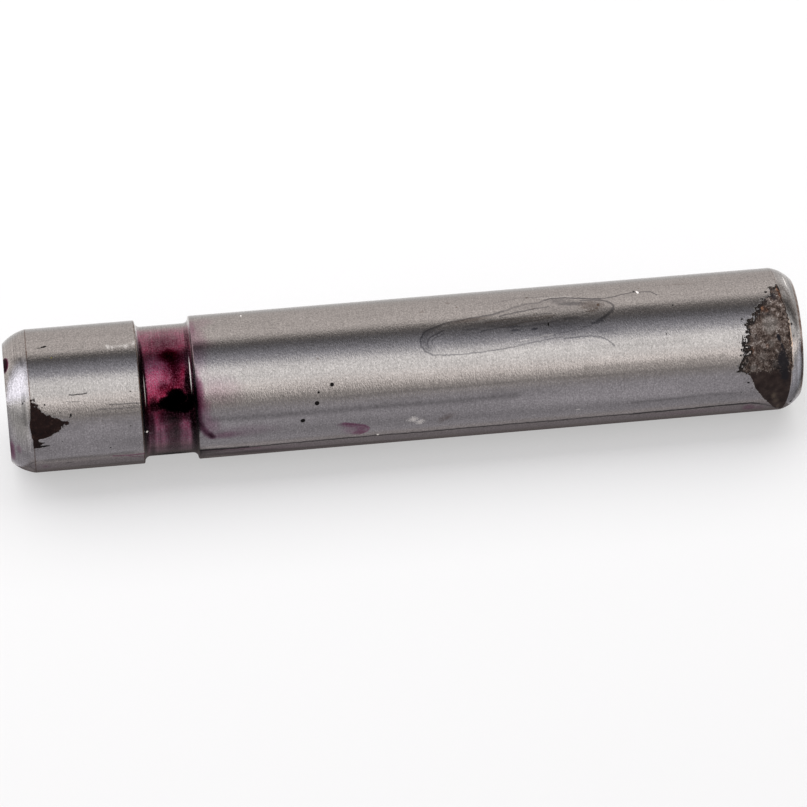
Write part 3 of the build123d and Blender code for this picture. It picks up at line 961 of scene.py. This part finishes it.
speck_areas = [
    (7.5, 20.0, 0.60, 4.4, 0, 0.6, 0.6, 1.0), (9.4, 22.0, 0.50, 1.8, 0, 0.7, 0.6, 1.0),
    (13, 6.9, 0.9, 1.5, 0, 0.8, 0.6, 1.0), (7, 8.2, 0.8, 1.8, 0, 0.8, 0.6, 1.0),
    (6.6, 17.0, 0.26, 2.2, 0, 0.8, 0.6, 0.8), (12, 34.8, 1.3, 2.2, 0, 1.0, 0.5, 0.9),
    (17, 5.2, 1.5, 1.6, 0, 0.8, 0.5, 1.0), (8, 9.0, 0.9, 1.6, 0, 0.9, 0.5, 0.9),
    (-13, 7.0, 0.7, 1.8, 0, 0.9, 0.5, 0.9), (27, 126.8, 3.2, 1.3, 0, 0.9, 0.5, 0.9),
    (-13, 128.2, 1.8, 1.2, 0, 0.9, 0.5, 0.9), (80, 127.4, 0.2, 2.0, 0, 0.8, 0.6, 0.8),
    (12, 52.0, 3.4, 22.0, 0, 1.0, 0.5, 0.55), (40, 62.0, 3.0, 20.0, 0, 1.0, 0.5, 0.45),
    (60, 40.0, 4.0, 30.0, 0, 1.0, 0.5, 0.25), (12, 15.0, 3.4, 9.0, 0, 1.0, 0.5, 0.40),
    (30, 115.0, 4.0, 14.0, 0, 1.0, 0.5, 0.40),
]
speck_size = (0.57, 0.65)
grease_and_shadow_colour = (0.020, 0.018, 0.019)
brown_colour = (0.16, 0.085, 0.055)
pale_and_highlight_colour = (0.80, 0.76, 0.72)
yellow_colour = (0.70, 0.66, 0.22)
edge_line_starts = (10.1, 10.3)
brown_marks = [
    (79.5, 77.5, 0.18, 0.6, -10, 0.7, 0.6, 0.7), (72.4, 78.9, 0.22, 0.2, 0, 0.6, 0.4, 0.8),
    (70, 72.7, 0.5, 0.6, 0, 0.9, 0.8, 0.25), (77.6, 91.3, 0.24, 0.4, 0, 0.8, 0.4, 0.6),
    (82.3, 96.6, 0.14, 0.35, 0, 0.8, 0.4, 0.4), (24.0, 100.0, 0.2, 0.2, 0, 0.8, 0.4, 0.4),
    (-26, 75.5, 1.1, 2.4, 32, 1.0, 1.0, 0.42), (42, 52.4, 0.25, 0.2, 0, 0.8, 0.4, 0.4),
    (33.5, 53.8, 0.4, 0.3, 20, 0.8, 0.6, 0.4), (79, 118.5, 0.25, 4.5, 0, 1.0, 0.8, 0.30),
    (78, 111.0, 0.18, 0.2, 0, 0.7, 0.4, 0.7),
]
brown_edges = [(4.1, 0.15, 0.80), (22.94, 0.15, 0.85), (134.9, 0.10, 0.45), (138.18, 0.42, 1.0)]
pale_specks_and_highlights = [
    (60, 18.1, 0.8, 0.40, 10, 0.9, 1.8, 0.34), (58.5, 18.9, 0.5, 0.36, 0, 0.9, 1.8, 0.28),
    (59, 21.2, 0.7, 0.9, 20, 0.9, 1.8, 0.34), (61, 22.5, 1.0, 0.45, -20, 0.9, 1.8, 0.38),
    (59.5, 20.2, 0.45, 2.8, 0, 1.0, 1.8, 0.22), (72.2, 110.6, 0.5, 0.24, 24, 0.4, 0.5, 1.0),
    (88, 41.6, 0.5, 0.2, 0, 0.6, 0.5, 0.8), (-25.3, 69.6, 0.95, 1.25, 20, 0.7, 1.5, 0.52),
    (-28.4, 70.8, 0.75, 1.1, 30, 0.7, 1.5, 0.46), (-41.2, 63.5, 0.24, 0.26, 0, 0.5, 0.4, 1.0),
    (-30, 98.5, 0.3, 0.6, 0, 0.9, 0.6, 0.35), (-18.5, 23.65, 0.3, 0.26, 0, 0.5, 0.3, 1.0),
    # The second mark on the next line and both after it are painted highlights: thin pale lines in the
    # groove's two corners and at the plain lead's shoulder
    (74, 136.7, 2.3, 0.14, 4, 0.6, 0.6, 0.9), (31, 31.8, 4.2, 0.12, 0, 0.6, 0.1, 0.75),
    (20, 23.75, 3.6, 0.09, 0, 0.6, 0.1, 0.55), (21, 135.05, 3.4, 0.12, 0, 0.6, 0.8, 0.85),
]
pale_strokes = [
    (0.18, 0.9, 0.16, [(75.0, 93.0), (75.0, 95.4), (74.4, 99.0)]),
    (0.20, 0.8, 0.22, [(34.2, 89.0), (36, 92.5), (37.4, 94.8)]),
    (0.30, 0.9, 0.22, [(30.6, 99.0), (31.0, 101.4), (29.0, 103.2), (26.0, 104.2)]),
]
yellow_marks = [(53.5, 8.3, 0.22, 0.2, 0, 0.4, 0.2, 1.0)]

specks = between(tree, speckle, *speck_size)
specks = math_of(tree, "MULTIPLY", specks, marks_of(tree, speck_areas, soft_edges))
# Grease, with the painted underside line
grease_and_shadow_line = marked(tree, grease_marks, grease_and_shadow_line_strokes, crisp_edges)
grease_and_shadow_line = math_of(tree, "MAXIMUM", grease_and_shadow_line, specks)
steel = blend_of(tree, grease_and_shadow_line, steel, grease_and_shadow_colour)
brown = marks_of(tree, brown_marks, crisp_edges)
worn = fitted(tree, crisp_edges, -0.25, 0.25, 0.2, 1.3)
outer = between(tree, radius, *edge_line_starts)
for edge_down, reach, strength in brown_edges:
    off_edge = math_of(tree, "ABSOLUTE", math_of(tree, "SUBTRACT", down, edge_down))
    edge_line = between(tree, off_edge, reach, reach * 0.3)
    edge_line = math_of(tree, "MULTIPLY", edge_line, math_of(tree, "MULTIPLY", worn, strength))
    brown = math_of(tree, "MAXIMUM", brown, math_of(tree, "MULTIPLY", edge_line, outer))
steel = blend_of(tree, brown, steel, brown_colour)
# Pale specks, with the painted highlight lines
pale_and_highlight = marked(tree, pale_specks_and_highlights, pale_strokes, crisp_edges)
steel = blend_of(tree, pale_and_highlight, steel, pale_and_highlight_colour)
steel = blend_of(tree, marks_of(tree, yellow_marks, crisp_edges), steel, yellow_colour)

# Mill scale in the low sides: mottled crust above, smoother brown skin below, black at the groove.
# Painted shade darkens the crust along each hollow's rim, and a painted highlight runs just outside
# it on the plain lead
crust_tones = [
    (0.32, (0.006, 0.004, 0.003)), (0.42, (0.036, 0.023, 0.018)), (0.52, (0.085, 0.062, 0.051)),
    (0.61, (0.16, 0.132, 0.117)), (0.72, (0.38, 0.34, 0.32)),
]
smooth_tones = [
    (0.3, (0.015, 0.008, 0.007)), (0.5, (0.026, 0.015, 0.013)), (0.7, (0.042, 0.028, 0.023)),
]
black_tones = [
    (0.3, (0.005, 0.001, 0.001)), (0.55, (0.012, 0.003, 0.002)), (0.75, (0.045, 0.024, 0.018)),
]
grey_tones = [
    (0.3, (0.070, 0.058, 0.050)), (0.5, (0.125, 0.110, 0.100)), (0.70, (0.30, 0.27, 0.25)),
]
dark_tones = [(0.4, (0.006, 0.005, 0.005)), (0.7, (0.080, 0.065, 0.060))]
rust_tones = [
    (0.40, (0.012, 0.006, 0.004)), (0.54, (0.065, 0.028, 0.015)), (0.68, (0.24, 0.11, 0.055)),
]
rim_shade_colour = (0.010, 0.007, 0.006)
blue_black = (0.009, 0.008, 0.011)
olive_colour = (0.090, 0.066, 0.048)
edge_highlight_colour = (0.80, 0.62, 0.50)
grey_marks = [
    (31, 132.6, 2.2, 1.9, 0, 0.6, 0.9, 0.85), (15, 132.4, 0.9, 1.0, 0, 0.7, 1.0, 0.7),
    (-4, 129.2, 0.8, 0.9, 0, 0.7, 1.0, 0.8), (5, 131.0, 1.6, 1.4, 0, 1.0, 1.0, 0.4),
]
dark_marks = [
    (41, 132.2, 1.3, 1.4, -30, 0.8, 1.2, 0.75), (51, 132.6, 2.0, 1.0, -20, 0.8, 1.2, 0.7),
    (20, 129.8, 1.3, 0.8, 0, 0.9, 1.2, 0.6), (-3, 133.2, 1.5, 1.3, 0, 0.6, 1.0, 0.85),
    (8, 128.4, 1.0, 0.6, 0, 0.8, 1.2, 0.7),
]
rust_marks = [
    (46, 131.4, 1.0, 1.6, -38, 0.6, 1.6, 0.9), (60, 135.0, 2.6, 0.4, 8, 0.6, 1.0, 0.9),
    (11, 129.0, 1.0, 0.8, 0, 0.7, 1.6, 0.8), (14, 131.9, 0.5, 0.7, 0, 0.8, 1.4, 0.6),
    (-12, 135.9, 4.0, 0.25, 0, 0.8, 1.0, 0.7), (20, 135.8, 3.0, 0.2, 0, 0.8, 1.0, 0.7),
]
blue_marks = [
    (-5, 134.6, 4.4, 1.20, 6, 0.5, 0.9, 0.95), (55, 134.0, 1.2, 0.7, 0, 0.6, 0.9, 0.75),
    (20, 133.9, 0.85, 0.42, 14, 0.4, 0.6, 1.0), (12, 134.5, 1.5, 0.30, 20, 0.6, 0.8, 0.95),
]
olive_marks = [
    (-34, 133.0, 1.3, 0.7, 0, 1.0, 0.9, 0.8), (-42, 133.5, 1.5, 0.8, 0, 1.0, 0.9, 0.6),
    (-52, 134.1, 1.6, 0.5, 0, 1.0, 0.9, 0.8),
]
edge_highlight_marks = [
    (21, 135.9, 3.6, 1.0, 0, 0.5, 0.6, 1.0), (-6, 135.9, 5.0, 1.0, 0, 0.8, 1.6, 0.45),
    (50, 135.6, 3.0, 1.0, 0, 0.8, 1.6, 0.30),
]
crumb_scale = 1.05
lump_scale = 0.9
grit_share = 0.55
crust_bite = 0.13
smooth_bite = 0.02
thin_wander = 0.12
edge_wander = 14.0
smooth_to_crust = (-9.0, -6.5)
skin_shows = (-0.002, 0.006)
thin_skin = (0.070, 0.025)
groove_end_reach = (20.0, 19.0)
edge_highlight_depth = 0.03
edge_highlight_reach = (0.06, 0.02)

skin = wire(tree, "Attribute", attribute_name="scale_depth").outputs["Fac"]
crumbs = noise_of(tree, position, crumb_scale, 6.0, 0.70)
lumps = noise_of(tree, position, lump_scale, 3.0, 0.6)
above_edge = math_of(tree, "MULTIPLY_ADD", crisp_edges, edge_wander, degrees)
above_edge = between(tree, above_edge, *smooth_to_crust)
bite = math_of(tree, "MULTIPLY_ADD", above_edge, crust_bite, smooth_bite)
bite = math_of(tree, "MULTIPLY", math_of(tree, "SUBTRACT", crumbs, 0.5), bite)
scale_mask = between(tree, math_of(tree, "ADD", skin, bite), *skin_shows)
grit = math_of(tree, "SUBTRACT", speckle, 0.5)
grit = math_of(tree, "MULTIPLY_ADD", grit, grit_share, crumbs)
crust = ramp_of(tree, grit, crust_tones)
for patches, tones in ((grey_marks, grey_tones), (dark_marks, dark_tones), (rust_marks, rust_tones)):
    patch = marks_of(tree, patches, crisp_edges)
    crust = blend_of(tree, patch, crust, ramp_of(tree, grit, tones))
# Painted shade: the crust goes near black along the rim of each hollow, where its surface slopes in
thin = math_of(tree, "MULTIPLY_ADD", crisp_edges, thin_wander, skin)
crust = blend_of(tree, between(tree, thin, *thin_skin), crust, rim_shade_colour)
crust = blend_of(tree, above_edge, ramp_of(tree, lumps, smooth_tones), crust)
crust = blend_of(tree, marks_of(tree, blue_marks, crisp_edges), crust, blue_black)
crust = blend_of(tree, marks_of(tree, olive_marks, crisp_edges), crust, olive_colour)
at_grooved_end = between(tree, down, *groove_end_reach)
crust = blend_of(tree, at_grooved_end, crust, ramp_of(tree, crumbs, black_tones))
base_colour = blend_of(tree, scale_mask, steel, crust)
# Painted highlight: a warm pale line just outside the rim of the hollows, on the plain lead
edge_highlight = math_of(tree, "ABSOLUTE", math_of(tree, "ADD", skin, edge_highlight_depth))
edge_highlight = between(tree, edge_highlight, *edge_highlight_reach)
edge_highlight = math_of(tree, "MULTIPLY", edge_highlight, marks_of(tree, edge_highlight_marks, crisp_edges))
base_colour = blend_of(tree, edge_highlight, base_colour, edge_highlight_colour)

# Polish: scale, pale specks with the painted highlight lines, and the oil dried under the pool hide
# the metal, and grease with the painted underside line dulls it
dried_oil = [(-38, 28.0, 8.6, 5.2, 0, 0.5, 0.3, 1.0)]
hiding_film_density = (1.0, 2.6)
dull_roughness = 0.6
coated_metal = 0.05
steel_edge_shine = 0.2
crust_relief = 0.22
smooth_relief = 0.04
dried = marks_of(tree, dried_oil, soft_edges)
dried = math_of(tree, "MULTIPLY", dried, fitted(tree, soot_and_shade, *hiding_film_density, 0.0, 1.0))
coated = math_of(tree, "MAXIMUM", math_of(tree, "MAXIMUM", scale_mask, pale_and_highlight), dried)
dull = math_of(tree, "MAXIMUM", grease_and_shadow_line, coated)
roughness = fitted(tree, dull, 0.0, 1.0, steel_roughness, dull_roughness)
metallic = fitted(tree, coated, 0.0, 1.0, 1.0, coated_metal)
scale_relief = math_of(tree, "MULTIPLY_ADD", above_edge, crust_relief, smooth_relief)
scale_relief = math_of(tree, "MULTIPLY", crumbs, scale_relief)
grain_relief = math_of(tree, "MULTIPLY", grain, grain_height)
height = wire(tree, "Mix", scale_mask, None, grain_relief, scale_relief).outputs[0]
relief = wire(tree, "Bump", 1.0, mm, None, height)
surface = wire(tree, "BsdfPrincipled")
surface.inputs["Specular IOR Level"].default_value = steel_edge_shine
tree.links.new(base_colour, surface.inputs["Base Color"])
tree.links.new(metallic, surface.inputs["Metallic"])
tree.links.new(roughness, surface.inputs["Roughness"])
tree.links.new(relief.outputs[0], surface.inputs["Normal"])
wire(tree, "OutputMaterial", surface.outputs[0])
pin.data.materials.append(ground_steel)

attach(pin, "root")
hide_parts("tooth_pin")
